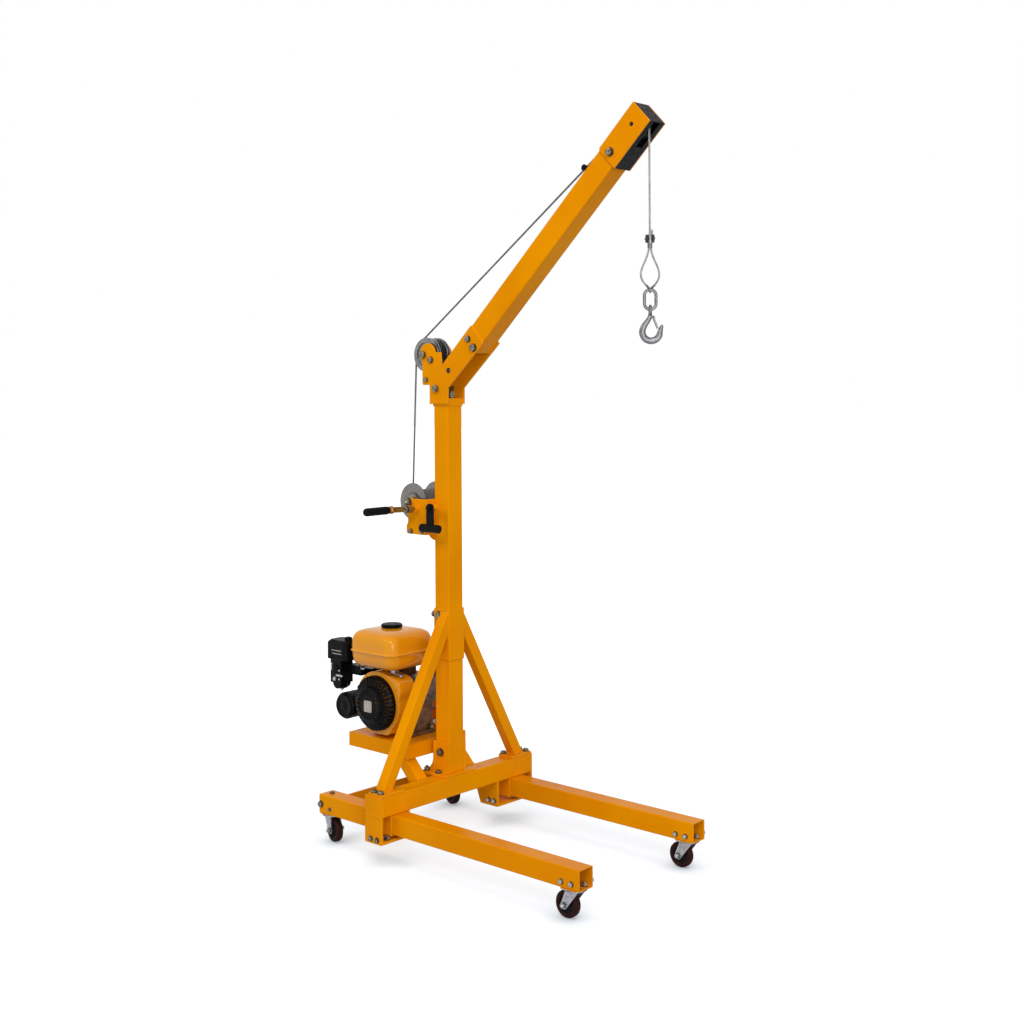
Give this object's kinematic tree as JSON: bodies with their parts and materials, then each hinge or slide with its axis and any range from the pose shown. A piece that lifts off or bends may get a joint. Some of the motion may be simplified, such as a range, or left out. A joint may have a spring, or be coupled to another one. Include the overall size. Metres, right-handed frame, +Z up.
{
  "type": "portable crane",
  "caption": "Wheeled portable crane: braced mast with an engine on a rear platform, hand winch, fixed inclined boom, rope sheaves and a safety hook.",
  "frame": {"origin": "on the floor under the middle of the whole crane", "axes": "+X forward along the legs, towards the hook; +Y to the crane's left; +Z up"},
  "size_m": [1.2282, 0.674, 2.2094],
  "materials": {
    "orange_paint": "gloss amber-orange enamel",
    "galvanised_steel": "zinc plated",
    "wheel_rubber": "dark brown rubber",
    "wire_rope": "galvanised wire rope",
    "yellow_paint": "gloss yellow enamel",
    "black_paint": "satin black",
    "black_plastic": "satin black moulding",
    "cast_aluminium": "as cast",
    "dark_orange_paint": "gloss dark orange"
  },
  "bodies": {
    "base": {"leg_left": "orange_paint", "leg_right": "orange_paint", "crossbeam": "orange_paint", "rear_cross_member": "orange_paint", "leg_sockets": "orange_paint", "caster_plates": "galvanised_steel", "mast_foot": "orange_paint", "mast": "orange_paint", "mast_collar": "orange_paint", "brace_left": "orange_paint", "brace_right": "orange_paint", "platform": "orange_paint", "platform_struts": "orange_paint", "crankcase": "black_paint", "cylinder_block": "cast_aluminium", "fan_shroud": "yellow_paint", "recoil_cover": "black_plastic", "fuel_tank": "yellow_paint", "tank_cap": "black_plastic", "air_cleaner": "black_plastic", "carburettor": "black_plastic", "silencer": "black_paint", "round_housing": "black_plastic", "gearbox": "dark_orange_paint", "winch_frame": "orange_paint", "winch_bracket": "orange_paint", "head_plates": "orange_paint", "axles": "galvanised_steel", "boom": "orange_paint", "rope_roller": "black_plastic", "tip_plates": "orange_paint", "tip_liner": "black_plastic", "mast_rope": "wire_rope", "boom_rope": "wire_rope", "hanging_rope": "wire_rope"},
    "caster_front_left": {"caster_fork_front_left": "galvanised_steel"},
    "wheel_front_left": {"wheel_front_left": "wheel_rubber"},
    "caster_front_right": {"caster_fork_front_right": "galvanised_steel"},
    "wheel_front_right": {"wheel_front_right": "wheel_rubber"},
    "caster_rear_left": {"caster_fork_rear_left": "galvanised_steel"},
    "wheel_rear_left": {"wheel_rear_left": "wheel_rubber"},
    "caster_rear_right": {"caster_fork_rear_right": "galvanised_steel"},
    "wheel_rear_right": {"wheel_rear_right": "wheel_rubber"},
    "winch_drum": {"winch_drum": "galvanised_steel", "wound_rope": "wire_rope"},
    "crank": {"crank": "orange_paint"},
    "crank_grip": {"crank_grip": "black_plastic"},
    "release_handle": {"release_handle": "black_plastic"},
    "head_sheave_right": {"head_sheave_right": "galvanised_steel"},
    "head_sheave_left": {"head_sheave_left": "galvanised_steel"},
    "tip_sheave": {"tip_sheave": "galvanised_steel"},
    "hoist": {"rope_clamp": "galvanised_steel", "rope_eye": "wire_rope"},
    "link": {"link": "galvanised_steel"},
    "hook": {"hook": "galvanised_steel"},
    "latch": {"hook_latch": "galvanised_steel"}
  },
  "joints": [
    {"name": "caster_swivel_front_left", "type": "hinge", "parent": "base", "child": "caster_front_left", "pos_m": [0.5199, 0.261, 0.0875], "axis": [0, 0, 1], "continuous": true},
    {"name": "wheel_spin_front_left", "type": "hinge", "parent": "caster_front_left", "child": "wheel_front_left", "pos_m": [0.4949, 0.261, 0.0375], "axis": [0, 1, 0], "continuous": true},
    {"name": "caster_swivel_front_right", "type": "hinge", "parent": "base", "child": "caster_front_right", "pos_m": [0.5199, -0.261, 0.0875], "axis": [0, 0, 1], "continuous": true},
    {"name": "wheel_spin_front_right", "type": "hinge", "parent": "caster_front_right", "child": "wheel_front_right", "pos_m": [0.4949, -0.261, 0.0375], "axis": [0, 1, 0], "continuous": true},
    {"name": "caster_swivel_rear_left", "type": "hinge", "parent": "base", "child": "caster_rear_left", "pos_m": [-0.4671, 0.261, 0.0875], "axis": [0, 0, 1], "continuous": true},
    {"name": "wheel_spin_rear_left", "type": "hinge", "parent": "caster_rear_left", "child": "wheel_rear_left", "pos_m": [-0.45346, 0.25785, 0.0375], "axis": [0.225, 0.9744, 0], "continuous": true},
    {"name": "caster_swivel_rear_right", "type": "hinge", "parent": "base", "child": "caster_rear_right", "pos_m": [-0.4671, -0.261, 0.0875], "axis": [0, 0, 1], "continuous": true},
    {"name": "wheel_spin_rear_right", "type": "hinge", "parent": "caster_rear_right", "child": "wheel_rear_right", "pos_m": [-0.45346, -0.26415, 0.0375], "axis": [0.225, 0.9744, 0], "continuous": true},
    {"name": "drum_turn", "type": "hinge", "parent": "base", "child": "winch_drum", "pos_m": [-0.3131, 0, 1.057], "axis": [0, -1, 0], "range_deg": [0, 326]},
    {"name": "crank_turn", "type": "hinge", "parent": "base", "child": "crank", "pos_m": [-0.28129, 0, 1.03811], "axis": [0, -1, 0], "range_deg": [-1014.4, 0]},
    {"name": "grip_spin", "type": "hinge", "parent": "crank", "child": "crank_grip", "pos_m": [-0.356, -0.11, 1.03157], "axis": [0, 1, 0], "continuous": true},
    {"name": "release_handle_turn", "type": "hinge", "parent": "base", "child": "release_handle", "pos_m": [-0.2031, -0.086, 1.045], "axis": [0, 1, 0], "range_deg": [-25, 25]},
    {"name": "head_sheave_right_turn", "type": "hinge", "parent": "base", "child": "head_sheave_right", "pos_m": [-0.2771, -0.021, 1.523], "axis": [0, -1, 0], "range_deg": [0, 223.8]},
    {"name": "head_sheave_left_turn", "type": "hinge", "parent": "base", "child": "head_sheave_left", "pos_m": [-0.2771, 0.021, 1.523], "axis": [0, -1, 0], "continuous": true},
    {"name": "tip_sheave_turn", "type": "hinge", "parent": "base", "child": "tip_sheave", "pos_m": [0.5511, 0, 2.14803], "axis": [0, -1, 0], "range_deg": [0, 329]},
    {"name": "hook_hoist", "type": "slide", "parent": "base", "child": "hoist", "axis": [0, 0, 1], "range_m": [0, 0.1953], "deforming": ["hanging_rope"]},
    {"name": "link_swing", "type": "hinge", "parent": "hoist", "child": "link", "pos_m": [0.5851, 0, 1.68883], "axis": [0.7431, 0.6691, 0], "range_deg": [-20, 20]},
    {"name": "hook_swing", "type": "hinge", "parent": "link", "child": "hook", "pos_m": [0.5851, 0, 1.63383], "axis": [0.7431, 0.6691, 0], "range_deg": [-25, 25]},
    {"name": "latch_turn", "type": "hinge", "parent": "hook", "child": "latch", "pos_m": [0.59105, 0.00535, 1.61213], "axis": [-0.6691, 0.7431, 0], "range_deg": [0, 28], "stiffness_Nm_per_rad": 0.03, "springref_deg": -20.05}
  ],
  "couplings": [
    {"joint": "crank_turn", "follows": "drum_turn", "ratio": -3.1111},
    {"joint": "head_sheave_right_turn", "follows": "drum_turn", "ratio": 0.686},
    {"joint": "tip_sheave_turn", "follows": "drum_turn", "ratio": 1.0088},
    {"joint": "hook_hoist", "follows": "drum_turn", "m_per_rad": 0.0343}
  ]
}
